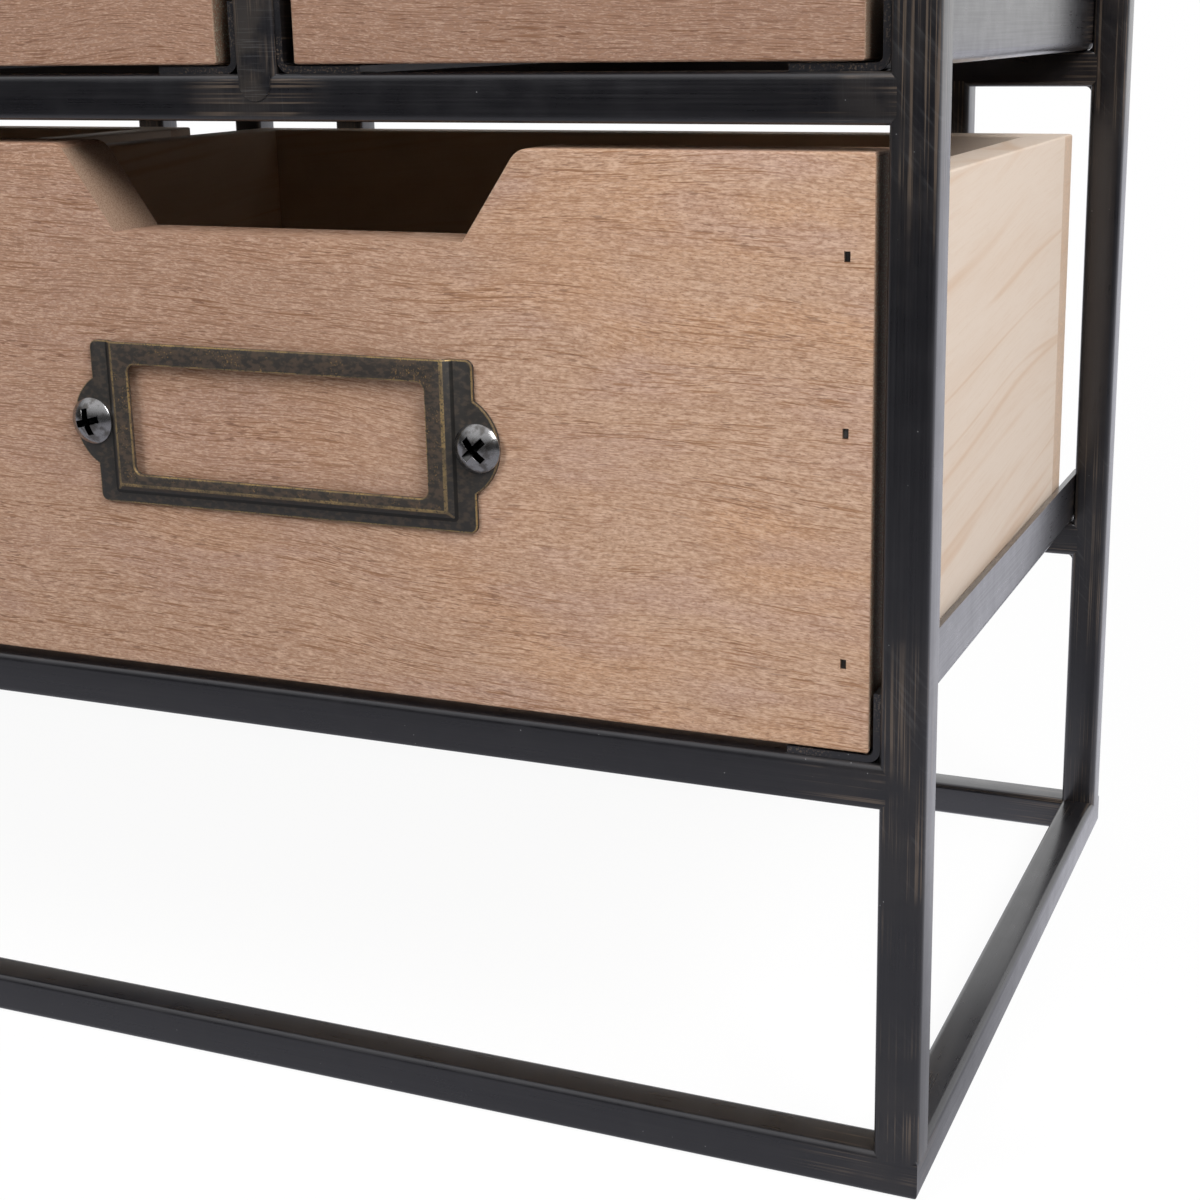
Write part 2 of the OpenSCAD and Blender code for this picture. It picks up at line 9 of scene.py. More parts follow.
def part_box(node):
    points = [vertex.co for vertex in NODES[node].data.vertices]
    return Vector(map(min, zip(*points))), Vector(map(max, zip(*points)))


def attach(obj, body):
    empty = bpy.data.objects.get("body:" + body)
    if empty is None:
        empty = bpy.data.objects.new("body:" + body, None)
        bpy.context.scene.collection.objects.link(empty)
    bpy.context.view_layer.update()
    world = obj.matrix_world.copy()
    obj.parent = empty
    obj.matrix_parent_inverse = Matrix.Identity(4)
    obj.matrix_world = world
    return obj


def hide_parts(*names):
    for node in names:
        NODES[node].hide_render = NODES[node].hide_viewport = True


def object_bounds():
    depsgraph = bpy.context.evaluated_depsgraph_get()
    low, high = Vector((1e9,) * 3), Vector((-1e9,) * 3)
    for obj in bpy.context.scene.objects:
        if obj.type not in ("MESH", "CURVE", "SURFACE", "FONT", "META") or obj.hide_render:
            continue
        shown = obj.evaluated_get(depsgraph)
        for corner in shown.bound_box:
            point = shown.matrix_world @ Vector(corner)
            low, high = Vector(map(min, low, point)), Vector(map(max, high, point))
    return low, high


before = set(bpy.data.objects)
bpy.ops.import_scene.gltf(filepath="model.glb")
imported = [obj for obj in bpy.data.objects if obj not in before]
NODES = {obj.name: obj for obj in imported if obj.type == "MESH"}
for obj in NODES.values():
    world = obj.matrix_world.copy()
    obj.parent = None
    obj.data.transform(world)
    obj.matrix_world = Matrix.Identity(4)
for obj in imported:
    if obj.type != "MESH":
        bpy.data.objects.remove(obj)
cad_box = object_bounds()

bl_info = {
    "name": "Tabletop chest of drawers",
    "version": (1, 0, 0),
    "blender": (4, 5, 0),
    "location": "View3D > Sidebar > Chest",
    "description": "Finishes a packed chest of drawers: lacquered steel, wood, stamped label holders and screws",
    "category": "Object",
}

MM = 0.001
DRAWERS = ("left_wide", "right_wide", "left_outer", "left_inner", "right_inner", "right_outer")
MERGE_GAP = 0.001 * MM
CAD_MERGE_GAP = 0.005 * MM
CAD_SMOOTH_DEGREES = 33.0
# Black painted as shade on the walls and floors of the screws' cross recesses.
RECESS_SHADE_BLACK = (0.004, 0.004, 0.004)
FLOOR_HALF_WIDTH = 4.0
FLOOR_DROP = 0.02 * MM
SENSOR_MM = 36.0
NEAR_CLIP = 0.01


def length(name, description, millimetres):
    """A property that holds a length, given here in millimetres."""
    return FloatProperty(
        name=name, description=description, default=millimetres * MM, unit="LENGTH", precision=5
    )


def tint(name, description, red, green, blue):
    """A property that holds a linear colour."""
    return FloatVectorProperty(
        name=name, description=description, default=(red, green, blue), size=3, min=0.0, max=1.0, subtype="COLOR"
    )


def share(name, description, value):
    """A property that holds a share between 0 and 1."""
    return FloatProperty(name=name, description=description, default=value, min=0.0, max=1.0, subtype="FACTOR")


def turn(name, description, degrees):
    """A property that holds an angle, given here in degrees."""
    return FloatProperty(name=name, description=description, default=math.radians(degrees), subtype="ANGLE")


def point(name, description, x, y, z):
    """A property that holds a place, in metres."""
    return FloatVectorProperty(
        name=name, description=description, default=(x, y, z), size=3, subtype="TRANSLATION", unit="LENGTH"
    )


def watts(name, description, power):
    """A property that holds a lamp's power."""
    return FloatProperty(name=name, description=description, default=power, unit="POWER")


class ChestSteel(bpy.types.PropertyGroup):
    """Colours and gloss of the lacquered tube and runners."""

    lacquer: tint("Lacquer", "Dark lacquer on the tube", 0.0042, 0.0040, 0.0052)
    haze: tint("Haze", "Paler lacquer in the brush marks", 0.0098, 0.0092, 0.0105)
    ground: tint("Ground joint", "Brown steel where a weld was ground", 0.027, 0.022, 0.018)
    rub: tint("Rub mark", "Bronze steel that shows through worn lacquer", 0.115, 0.084, 0.060)
    speck: tint("Speck", "Pale specks and scratches in the lacquer", 0.26, 0.26, 0.27)
    sheen: tint("Sheen", "Cool tone of the lacquer's reflections", 0.92, 0.92, 1.0)
    roughness: share("Roughness", "Roughness of the lacquer", 0.33)
    gloss: share("Gloss", "Specular level of the lacquer", 0.50)
    coat: share("Coat", "Strength of the clear coat on the lacquer", 0.80)


class ChestWood(bpy.types.PropertyGroup):
    """Colours of the boards."""

    front: tint("Front", "Main tone of the fronts and the top", 0.478, 0.309, 0.210)
    warm: tint("Warm blotch", "Orange blotches on the fronts", 0.500, 0.299, 0.182)
    pink: tint("Pink blotch", "Pinkish grey blotches on the fronts", 0.450, 0.294, 0.228)
    brown: tint("Brown fibre", "Darker fibres in the fronts", 0.312, 0.172, 0.107)
    vein: tint("Thin line", "Orange-brown lines in the fronts", 0.285, 0.140, 0.068)
    pore: tint("Pore", "Dark pores in the fronts", 0.150, 0.072, 0.044)
    fleck: tint("Fleck", "Light dashes beside the pores", 0.625, 0.437, 0.325)
    # Painted shade: this darker tone is laid on the fronts towards the chest's middle and on the upper tier; on the
    # top it darkens random blotches.
    dark_tone_and_shade: tint("Dark tone and shade", "Darker tone of the upper fronts and towards the chest's middle", 0.278, 0.163, 0.114)
    front_end: tint("Front end grain", "End grain of the fronts", 0.135, 0.118, 0.086)
    sawn: tint("Sawn slope", "Rough sawn slopes of the notches", 0.285, 0.196, 0.138)
    end_fleck: tint("End fleck", "Light specks in the fronts' end grain", 0.360, 0.300, 0.220)
    side: tint("Side", "Main tone of the sides", 0.655, 0.545, 0.455)
    line: tint("Growth line", "Growth lines on the sides", 0.560, 0.385, 0.265)
    side_end: tint("Side end grain", "End grain of the sides and backs", 0.450, 0.325, 0.240)
    ply: tint("Bottom panel", "Main tone of the bottom panels", 0.620, 0.470, 0.310)


class ChestLabelHolder(bpy.types.PropertyGroup):
    """Sizes and colours of the stamped label holders."""

    sheet: length("Sheet", "Thickness of the stamped sheet", 0.8)
    plate_w: length("Plate width", "Width of the plate without its ears", 78.4)
    ear_r: length("Ear radius", "Radius of the ears that take the screws", 9.4)
    flange: length("Side flange", "Flat margin at the plate's sides", 3.9)
    foot: length("Foot flange", "Flat margin along the plate's lower edge", 2.2)
    slope: length("Slope", "Run of the stamped slope", 1.4)
    bar: length("Side bar", "Width of the raised bars beside the window", 3.45)
    bar_top: length("Top bar", "Width of the raised bar above the window", 4.0)
    bar_foot: length("Foot bar", "Width of the raised bar below the window", 2.2)
    corner: length("Corner", "Radius of the plate's corners", 1.4)
    window_corner: length("Window corner", "Radius of the window's corners", 1.6)
    bend: length("Bend", "Half width of a bend in the sheet", 0.36)
    edge: length("Edge", "Width of the worn edge of the sheet", 0.25)
    bronze: tint("Bronze", "Brown patina on the raised frame", 0.088, 0.065, 0.049)
    flat: tint("Flange grey", "Dark grey patina", 0.037, 0.034, 0.0315)
    brass: tint("Brass", "Bare metal on worn edges", 0.480, 0.340, 0.150)
    fleck: tint("Brass fleck", "Small worn flecks on the raised frame", 0.330, 0.205, 0.075)
    grime: tint("Grime", "Dirt in the foot of the slopes", 0.010, 0.009, 0.008)


class ChestScrew(bpy.types.PropertyGroup):
    """Sizes and colours of the label holders' screws."""

    head_d: length("Head", "Diameter of the domed head", 8.8)
    head_h: length("Height", "Height of the domed head", 2.2)
    rim: length("Rim", "Height of the head's upright rim", 0.3)
    recess: length("Recess", "Span of the cross recess", 5.0)
    arm: length("Arm", "Width of the recess's arms", 1.3)
    depth: length("Depth", "Depth of the recess", 1.6)
    taper: share("Taper", "Width of the recess's floor as a share of its mouth", 0.55)
    lip: length("Lip", "Width of the rounded lip of the recess", 0.16)
    left_turn: turn("Left turn", "Turn of the left screw's recess", 14.0)
    right_turn: turn("Right turn", "Turn of the right screw's recess", 42.0)
    nickel: tint("Nickel", "Dark nickel plating", 0.34, 0.335, 0.34)
    tarnish: tint("Tarnish", "Browned plating", 0.115, 0.105, 0.095)
    zinc: tint("Zinc", "Zinc plating of the panel's screws", 0.55, 0.55, 0.54)


class ChestBrad(bpy.types.PropertyGroup):
    """Sizes and colour of the brads' sunk heads."""

    width: length("Width", "Width of a brad's head", 0.9)
    height: length("Height", "Height of a brad's head", 1.55)
    stand: length("Stand", "Height of the head above the floor of its pocket", 0.2)
    taper: share("Taper", "Width of the head's top as a share of its foot", 0.9)
    sunk: length("Pocket", "Depth of the pocket", 0.4)
    side_t: length("Side board", "Thickness of the side boards that the brads are driven into", 9.0)
    low: length("Lowest", "Lowest brad above the boards' lower edges", 15.0)
    high: length("Highest", "Highest brad below the side boards' top edges", 9.9)
    mid_shift: length("Middle shift", "Middle brad above the midpoint of the others", 5.2)
    dark: tint("Dark steel", "Dark steel of the brads", 0.050, 0.046, 0.042)
    bare: tint("Bare steel", "Bright steel on the heads", 0.16, 0.15, 0.14)


class ChestWeld(bpy.types.PropertyGroup):
    """Sizes of the ground welds on the frame."""

    tongue_w: length("Tongue width", "Width of the ground weld under a strut", 6.2)
    tongue_drop: length("Tongue drop", "Reach of that weld down the rail", 4.6)
    tongue_rise: length("Tongue rise", "Reach of that weld up the strut", 2.6)
    proud: length("Proud", "Height of that weld's lower end above the rail's face", 0.18)
    ground: share("Ground down", "Share of that height that is missing at the weld's upper end", 0.95)
    rounding: share("Rounding", "Radius of that weld's edge as a share of its height", 0.8)
    fillet: length("Fillet", "Radius of the weld fillets in the rear corners", 1.3)
    bead: length("Bead", "Length of those fillets", 5.0)
    set_in: length("Set in", "How far those fillets lie behind the rail's face", 1.5)


class ChestStage(bpy.types.PropertyGroup):
    """Camera, floor and lamps."""

    place: point("Camera place", "Where the camera stands", 0.30764, -0.38125, 0.19704)
    yaw: turn("Yaw", "Turn of the camera to the left", 22.148)
    pitch: turn("Pitch", "Tilt of the camera downwards", 14.683)
    roll: turn("Roll", "Roll of the camera", 0.808)
    lens: FloatProperty(name="Lens", description="Focal length in millimetres", default=59.294, unit="CAMERA")
    shift_x: FloatProperty(name="Shift across", description="Sideways shift of the lens", default=-0.05)
    shift_y: FloatProperty(name="Shift up", description="Upward shift of the lens", default=-0.05)
    floor: tint("Floor", "Colour of the floor where it lights the chest", 0.42, 0.42, 0.42)
    paper: tint("Paper", "Colour of the floor that the camera sees", 0.92, 0.92, 0.92)
    dust: tint("Dust", "Greyer specks of the floor that the camera sees", 0.90, 0.90, 0.90)
    floor_far: tint("Far floor", "What the steel mirrors of the floor far in front", 0.03, 0.03, 0.035)
    floor_near: tint("Near floor", "What the steel mirrors of the floor close in front", 0.42, 0.42, 0.46)
    floor_rear: tint("Rear floor", "What the steel mirrors of the floor behind", 0.88, 0.88, 0.96)
    white: share("White", "How far the floor near the chest is lifted to white for the camera", 0.94)
    key: watts("Front lamp", "Power of the lamp at the upper left", 12.0)
    glint: watts("Glint lamp", "Power of the lamp that the rails' edges mirror", 13.0)
    side: watts("Side lamp", "Power of the lamp at the upper right", 41.0)
    rear: watts("Rear lamp", "Power of the lamp behind", 10.0)
    key_place: point("Front lamps' place", "Where the front and glint lamps hang", -0.80, -1.35, 1.20)
    side_place: point("Side lamp's place", "Where the side lamp hangs", 1.35, -0.65, 1.35)
    rear_place: point("Rear lamp's place", "Where the rear lamp hangs", -0.55, 1.50, 0.80)
    aim: point("Aim", "What the lamps point at", 0.1, 0.0, 0.15)
    lamp: length("Lamp size", "Side of the square lamps", 900.0)
    ambient: share("Ambient", "Strength of the light from above and all round", 0.20)


class Wire:
    """A shader value that can stand in a Python expression."""

    def __init__(self, paint, socket):
        self.paint = paint
        self.socket = socket

    def math(self, operation, *values):
        """A Math node on these values."""
        return self.paint.node("Math", dict(enumerate(values)), operation=operation)

    def __add__(self, other):
        return self.math("ADD", self, other)

    def __sub__(self, other):
        return self.math("SUBTRACT", self, other)

    def __rsub__(self, other):
        return self.math("SUBTRACT", other, self)

    def __mul__(self, other):
        return self.math("MULTIPLY", self, other)

    def __truediv__(self, other):
        return self.math("DIVIDE", self, other)

    def __abs__(self):
        return self.math("ABSOLUTE", self)

    __radd__ = __add__
    __rmul__ = __mul__

    def most(self, other):
        """The greater of two values."""
        return self.math("MAXIMUM", self, other)

    def least(self, other):
        """The smaller of two values."""
        return self.math("MINIMUM", self, other)

    def rise(self, low, high):
        """A soft step from 0 at low to 1 at high. It falls where low is the greater."""
        stops = {"Value": self, "From Min": low, "From Max": high}
        return self.paint.node("MapRange", stops, interpolation_type="SMOOTHSTEP")


class Paint:
    """A node tree in the making: a material's, or the world's."""

    def __init__(self, tree):
        self.tree = tree
        self.tree.nodes.clear()
        self.coords = None

    def node(self, kind, sockets=None, output=0, **settings):
        """Adds a shader node, sets it up, joins its sockets and returns one of its outputs."""
        made = self.tree.nodes.new("ShaderNode" + kind)
        for name, value in settings.items():
            setattr(made, name, value)
        for key, value in (sockets or {}).items():
            if isinstance(value, Wire):
                self.tree.links.new(value.socket, made.inputs[key])
            else:
                made.inputs[key].default_value = value
        return Wire(self, made.outputs[output] if made.outputs else None)

    def place(self):
        """Object coordinates in metres."""
        if self.coords is None:
            self.coords = self.node("TexCoord", output="Object")
        return self.coords

    def parts(self, vector):
        """The three parts of a vector."""
        split = self.node("SeparateXYZ", {0: vector})
        return [Wire(self, out) for out in split.socket.node.outputs]

    def axes(self):
        """The three parts of the place, in millimetres."""
        return self.parts(self.node("VectorMath", {0: self.place(), "Scale": 1.0 / MM}, operation="SCALE"))

    def facing(self):
        """The three parts of the surface's direction."""
        return self.parts(self.node("TexCoord", output="Normal"))

    def ray(self, kind):
        """1 for rays of one kind, 0 for others."""
        return self.node("LightPath", output=f"Is {kind} Ray")

    def lifted(self, vector, height):
        """A vector with a height added to its third part."""
        lift = self.node("CombineXYZ", {2: height})
        return self.node("VectorMath", {0: vector, 1: lift}, operation="ADD")

    def turned(self, axis, degrees):
        """The place, turned about an axis."""
        sockets = {"Vector": self.place(), "Angle": math.radians(degrees)}
        return self.node("VectorRotate", sockets, rotation_type=axis + "_AXIS")

    def marks(self, size, shift=0.0, detail=2.0, vector=None):
        """Noise whose marks measure size, in millimetres along x, y and z."""
        spot = self.node("Mapping", {
            "Vector": vector or self.place(),
            "Location": (shift, shift * 1.7, shift * 2.3),
            "Scale": [1.0 / (MM * part) for part in size],
        })
        return self.node("TexNoise", {"Vector": spot, "Scale": 1.0, "Detail": detail})

    def dots(self, size, shift=0.0):
        """Distance to the nearest of scattered points that lie about size millimetres apart."""
        spot = self.node("Mapping", {
            "Vector": self.place(), "Location": (shift, shift, shift), "Scale": [1.0 / (MM * size)] * 3,
        })
        return self.node("TexVoronoi", {"Vector": spot, "Scale": 1.0})

    def blend(self, factor, first, second):
        """One colour mixed into another."""
        return self.node("Mix", {0: factor, 6: colour(first), 7: colour(second)}, 2, data_type="RGBA")

    def layers(self, tone, *coats):
        """A colour with others laid over it in turn, each given as its factor and itself."""
        for factor, coat in coats:
            tone = self.blend(factor, tone, coat)
        return tone

    def bump(self, height, depth, strength):
        """A surface direction from a height of 0 to 1 that stands for depth millimetres."""
        return self.node("Bump", {"Height": height, "Distance": depth * MM, "Strength": strength})

    def cover(self, sockets):
        """Joins a Principled shader to the material's output."""
        shader = self.node("BsdfPrincipled", {key: colour(value) for key, value in sockets.items()})
        self.node("OutputMaterial", {"Surface": shader})


def colour(value):
    """A colour with the fourth number that its socket takes. Wires and plain numbers stay as they are."""
    if isinstance(value, (Wire, int, float)):
        return value
    return (*value, 1.0)


def new_material(name):
    """A bare material and the paint that fills it."""
    material = bpy.data.materials.new(name)
    material.use_nodes = True
    return material, Paint(material.node_tree)


def lacquered_steel(name, along, joints, bare, slanted, look):
    """Dark lacquer brushed along one axis. Near its joints, shares of it are ground bare and scored aslant."""
    material, paint = new_material(name)

    def size(run, across):
        return [run if axis == along else across for axis in range(3)]

    brush = paint.marks(size(34.0, 0.30), shift=3.1, detail=3.0)
    hair = paint.marks(size(46.0, 0.34), shift=7.7, detail=1.0)
    grind = paint.marks(size(0.20, 7.0), shift=2.2)
    slant = paint.marks((7.0, 7.0, 0.75), shift=6.6, vector=paint.turned("Y", -50.0))
    mottle = paint.marks((6.0, 6.0, 6.0), shift=1.3, detail=4.0)
    patch = paint.marks((13.0, 13.0, 13.0), shift=5.9)
    place = paint.axes()[along]
    zones = [(abs(place - joint) / reach).rise(1.0, 0.3) for joint, reach in joints]
    near = zones[0]
    for zone in zones[1:]:
        near = near.most(zone)
    worked = near * patch.rise(0.40, 0.58)
    lines = grind.rise(0.56, 0.72) * bare ** 2 + slant.rise(0.54, 0.72) * patch.rise(0.44, 0.60) * slanted
    specks = paint.dots(2.3, shift=4.4).rise(0.055, 0.025) * mottle.rise(0.52, 0.60)
    base = paint.layers(
        look.lacquer,
        (brush.rise(0.36, 0.72) * 0.55 + mottle.rise(0.45, 0.7) * 0.3, look.haze),
        ((near * bare).least(1.0) * mottle.rise(0.32, 0.55), look.ground),
        (hair.rise(0.55, 0.66) * worked * 0.65, look.rub),
        ((lines * near).least(1.0) * 0.16, look.speck),
        (specks * 0.8, look.speck),
    )
    rough = look.roughness + (brush - 0.5) * 0.25 + (mottle - 0.5) * 0.25 + near * 0.06
    height = brush * 0.5 + hair * 0.25 + mottle * 0.6 + grind * near * 0.5
    paint.cover({
        "Base Color": base,
        "Roughness": rough.most(0.15),
        "Specular IOR Level": look.gloss,
        "Specular Tint": look.sheen,
        "Coat Weight": look.coat,
        "Coat Roughness": 0.20,
        "Normal": paint.bump(height, depth=0.030, strength=0.5),
    })
    return material


def figured_wood(name, lying, look):
    """Front boards, or the lying top: grain along X with fibres, dark pores, light dashes and warm blotches. On the
    fronts, shade is painted in: darker towards the chest's middle, higher up and on the upper tier.
    """
    material, paint = new_material(name)
    x, _, z = paint.axes()
    spot = paint.turned("X", 90.0) if lying else paint.place()
    sway = (paint.marks((60.0, 40.0, 26.0), shift=2.2, detail=1.0, vector=spot) - 0.5) * (7.0 * MM)
    flow = paint.lifted(spot, sway + x * (0.040 * MM))
    warm = paint.marks((36.0, 20.0, 13.0), shift=1.1, detail=3.0, vector=flow)
    pink = paint.marks((28.0, 20.0, 9.0), shift=6.3, detail=3.0, vector=flow)
    streak = paint.marks((26.0, 8.0, 1.1), shift=5.5, vector=flow)
    fibre = paint.marks((2.8, 2.0, 0.30), shift=2.7, detail=3.0, vector=flow)
    thread = paint.marks((0.85, 0.7, 0.25), shift=3.9, detail=1.0, vector=flow)
    pore = paint.marks((2.8, 1.0, 0.27), shift=8.9, detail=1.0, vector=flow)
    dot = paint.marks((0.75, 0.6, 0.24), shift=6.8, detail=1.0, vector=flow)
    vessel = paint.marks((8.0, 2.0, 0.21), shift=4.6, detail=1.0, vector=flow)
    crowd = paint.marks((34.0, 9.0, 3.4), shift=9.4, vector=flow)
    # On the top this darkening is random darker tone. On the fronts it is painted shade: darker towards the chest's
    # middle, higher up, and darkest on the upper tier. Light dashes fade and pores darken with it.
    if lying:
        tone_and_shade = warm.rise(0.62, 0.40) * 0.30
    else:
        middle_shade = abs(x).rise(205.0, 95.0)
        upper_tier_shade = z.rise(183.0, 188.0)
        tone_and_shade = (middle_shade * (0.50 + z.rise(95.0, 140.0) * 0.35)).most(upper_tier_shade * 1.12)
    bright = 1.0 - tone_and_shade * 0.38
    hole = pore.rise(0.60, 0.68) * (0.16 + tone_and_shade * 0.22 + crowd.rise(0.42, 0.64) * 0.40)
    hole = hole.most(dot.rise(0.61, 0.67) * (0.12 + crowd.rise(0.56, 0.40) * 0.26))
    hole = hole.most(vessel.rise(0.67, 0.73) * crowd.rise(0.46, 0.62) * 0.40)
    hole = hole.most(vessel.rise(0.56, 0.66) * tone_and_shade * 0.55)
    tone = paint.layers(
        look.front,
        (warm.rise(0.42, 0.66), look.warm),
        (pink.rise(0.46, 0.68) * 0.85, look.pink),
        (tone_and_shade * 0.85, look.dark_tone_and_shade),
        (streak.rise(0.48, 0.34) * 0.22, look.brown),
        (streak.rise(0.54, 0.70) * bright * 0.16, look.fleck),
        (fibre.rise(0.50, 0.68) * bright * 0.50, look.fleck),
        (fibre.rise(0.50, 0.32) * 0.58, look.brown),
        (thread.rise(0.52, 0.68) * bright * 0.50, look.fleck),
        (thread.rise(0.48, 0.32) * 0.58, look.brown),
        (vessel.rise(0.58, 0.65) * (0.22 + crowd.rise(0.42, 0.62) * 0.55), look.vein),
        (hole, look.pore),
    )
    side = abs(paint.facing()[0])
    end = side.rise(0.45, 0.75)
    speckle = paint.marks((0.4, 0.26, 0.26), shift=3.3, detail=3.0)
    cut = paint.layers(
        look.pore,
        (speckle.rise(0.38, 0.62), look.front_end),
        (speckle.rise(0.58, 0.70) * 0.7, look.end_fleck),
        (side.rise(0.97, 0.90), paint.blend(speckle.rise(0.60, 0.34) * 0.6, look.sawn, look.pore)),
    )
    rough = 0.55 + fibre * 0.14 + hole * 0.15
    height = fibre * 0.45 + (1.0 - hole) * 0.55
    paint.cover({
        "Base Color": paint.blend(end, tone, cut),
        "Roughness": rough + end * 0.15,
        "Specular IOR Level": 0.28,
        "Normal": paint.bump(height * (1.0 - end) + speckle * end, depth=0.08, strength=0.4),
    })
    return material


def pale_wood(name, along, main, look):
    """Side, back and bottom boards: pale wood with faint growth lines along one axis."""
    material, paint = new_material(name)

    def size(run, across, upright):
        return (across, run, upright) if along == 1 else (run, across, upright)

    sway = (paint.marks(size(150.0, 30.0, 40.0), shift=1.9, detail=1.0) - 0.5) * (16.0 * MM)
    flow = paint.lifted(paint.place(), sway + paint.axes()[along] * (-0.10 * MM))
    growth = paint.marks(size(600.0, 40.0, 10.0), shift=2.4, detail=1.5, vector=flow)
    edge = abs(growth - 0.5).rise(0.035, 0.0)
    soft = paint.marks(size(90.0, 20.0, 9.0), shift=5.2, vector=flow)
    fibre = paint.marks(size(14.0, 2.0, 0.42), shift=3.6, detail=3.0, vector=flow)
    pore = paint.marks(size(2.4, 1.0, 0.28), shift=7.4, detail=1.0, vector=flow)
    tone = paint.layers(
        main,
        (soft.rise(0.42, 0.72) * 0.16, look.line),
        (edge * soft.rise(0.36, 0.60) * 0.55, look.line),
        (fibre.rise(0.46, 0.74) * 0.16, look.line),
        (pore.rise(0.62, 0.70) * 0.08, look.side_end),
    )
    end = abs(paint.facing()[along]).rise(0.6, 0.85)
    speckle = paint.marks((0.4, 0.4, 0.4), shift=4.1, detail=3.0)
    cut = paint.blend(speckle.rise(0.38, 0.62), look.side_end, look.line)
    paint.cover({
        "Base Color": paint.blend(end * 0.7, tone, cut),
        "Roughness": 0.52 + fibre * 0.18,
        "Specular IOR Level": 0.28,
        "Normal": paint.bump(fibre * 0.6 + speckle * end, depth=0.05, strength=0.4),
    })
    return material


def patinated_bronze(name, look):
    """Label holders: dark patina, worn to brass by the wear attribute, with grime where it is negative."""
    material, paint = new_material(name)
    wear = paint.node("Attribute", output="Fac", attribute_name="wear")
    fine = paint.marks((0.36, 0.36, 0.36), shift=2.9)
    patch = paint.marks((4.2, 4.2, 4.2), shift=6.1, detail=3.0)
    cloud = paint.marks((1.3, 1.3, 0.8), shift=1.6, detail=4.0)
    raised = wear.rise(0.12, 0.25)
    worn = wear.rise(0.6, 0.9) * (0.26 + patch.rise(0.38, 0.64) * 0.50) * fine.rise(0.26, 0.54)
    base = paint.layers(
        look.flat,
        (raised, look.bronze),
        (cloud.rise(0.38, 0.60) * 0.85, look.flat),
        (cloud.rise(0.44, 0.66) * (1.0 - raised) * 0.55, look.bronze),
        (fine.rise(0.58, 0.68) * patch.rise(0.48, 0.66) * raised * 0.65, look.fleck),
        (worn, look.brass),
        (wear.rise(-0.2, -0.8) * 0.85, look.grime),
    )
    paint.cover({
        "Base Color": base,
        "Metallic": 0.40 + worn * 0.4,
        "Roughness": 0.42 + (cloud - 0.5) * 0.3,
        "Normal": paint.bump(fine * 0.5 + patch, depth=0.04, strength=0.35),
    })
    return material


def plated(name, main, other, roughness):
    """Plated fastenings, of another tone in patches, with shade painted black where the attribute that marks the
    screws' cross recesses is 1.
    """
    material, paint = new_material(name)
    pit = paint.node("Attribute", output="Fac", attribute_name="pit")
    patch = paint.marks((1.8, 1.8, 1.8), shift=3.7, detail=3.0)
    fine = paint.marks((0.25, 0.25, 0.25), shift=8.2)
    paint.cover({
        "Base Color": paint.layers(main, (patch.rise(0.44, 0.66) * 0.75, other), (pit, RECESS_SHADE_BLACK)),
        "Metallic": 0.95,
        "Roughness": roughness + (fine - 0.5) * 0.16 + (patch - 0.5) * 0.16,
        "Normal": paint.bump(patch + fine * 0.25, depth=0.05, strength=0.35),
    })
    return material


def soft_corners():
    """A modifier's node group that welds a CAD node and shades its round corners smoothly."""
    tree = bpy.data.node_groups.new("soft_corners", "GeometryNodeTree")
    for way in ("INPUT", "OUTPUT"):
        tree.interface.new_socket("Geometry", in_out=way, socket_type="NodeSocketGeometry")
    start = tree.nodes.new("NodeGroupInput")
    weld = tree.nodes.new("GeometryNodeMergeByDistance")
    weld.inputs["Distance"].default_value = CAD_MERGE_GAP
    angle = tree.nodes.new("GeometryNodeInputMeshEdgeAngle")
    sharp = tree.nodes.new("FunctionNodeCompare")
    sharp.inputs[1].default_value = math.radians(CAD_SMOOTH_DEGREES)
    shade = tree.nodes.new("GeometryNodeSetMeshNormal")
    shade.inputs["Remove Custom"].default_value = True
    end = tree.nodes.new("NodeGroupOutput")
    for source, target in (
        (start.outputs[0], weld.inputs["Geometry"]),
        (weld.outputs[0], shade.inputs["Mesh"]),
        (angle.outputs["Unsigned Angle"], sharp.inputs[0]),
        (sharp.outputs[0], shade.inputs["Edge Sharpness"]),
        (shade.outputs[0], end.inputs[0]),
    ):
        tree.links.new(source, target)
    return tree


def dress(name, material):
    """Gives a CAD node its finish and smooth corners."""
    node = NODES[name]
    node.data.materials[0] = material
    group = bpy.data.node_groups.get("soft_corners") or soft_corners()
    node.modifiers.new("soft_corners", "NODES").node_group = group


def slot_nodes(slot):
    """The CAD nodes that the record puts in a material slot."""
    return [name for name, node in NODES.items() if node.material_slots[0].material.name.startswith(slot)]


def tube_axis(name):
    """The axis along which a frame node's tube or strip runs."""
    if name.endswith("struts"):
        return 2
    if name.endswith("runners"):
        return 1
    low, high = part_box(name)
    return max(range(3), key=lambda axis: high[axis] - low[axis])


def middle(name):
    """The middle of a CAD node's box."""
    low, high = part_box(name)
    return (low + high) / 2.0


def new_object(bm, name, material):
    """Turns a bmesh into an object in the scene."""
    mesh = bpy.data.meshes.new(name)
    bm.to_mesh(mesh)
    bm.free()
    mesh.materials.append(material)
    made = bpy.data.objects.new(name, mesh)
    bpy.context.scene.collection.objects.link(made)
    return made


def new_piece(bm, name, material, body, replaced=()):
    """Turns a bmesh into an object that rides on a CAD body."""
    piece = new_object(bm, name, material)
    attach(piece, body)
    if replaced:
        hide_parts(*replaced)


def shade_by_angle(bm, degrees):
    """Smooth shading, with a hard line where faces meet at more than an angle."""
    for face in bm.faces:
        face.smooth = True
    for edge in bm.edges:
        edge.smooth = len(edge.link_faces) != 2 or edge.calc_face_angle() < math.radians(degrees)


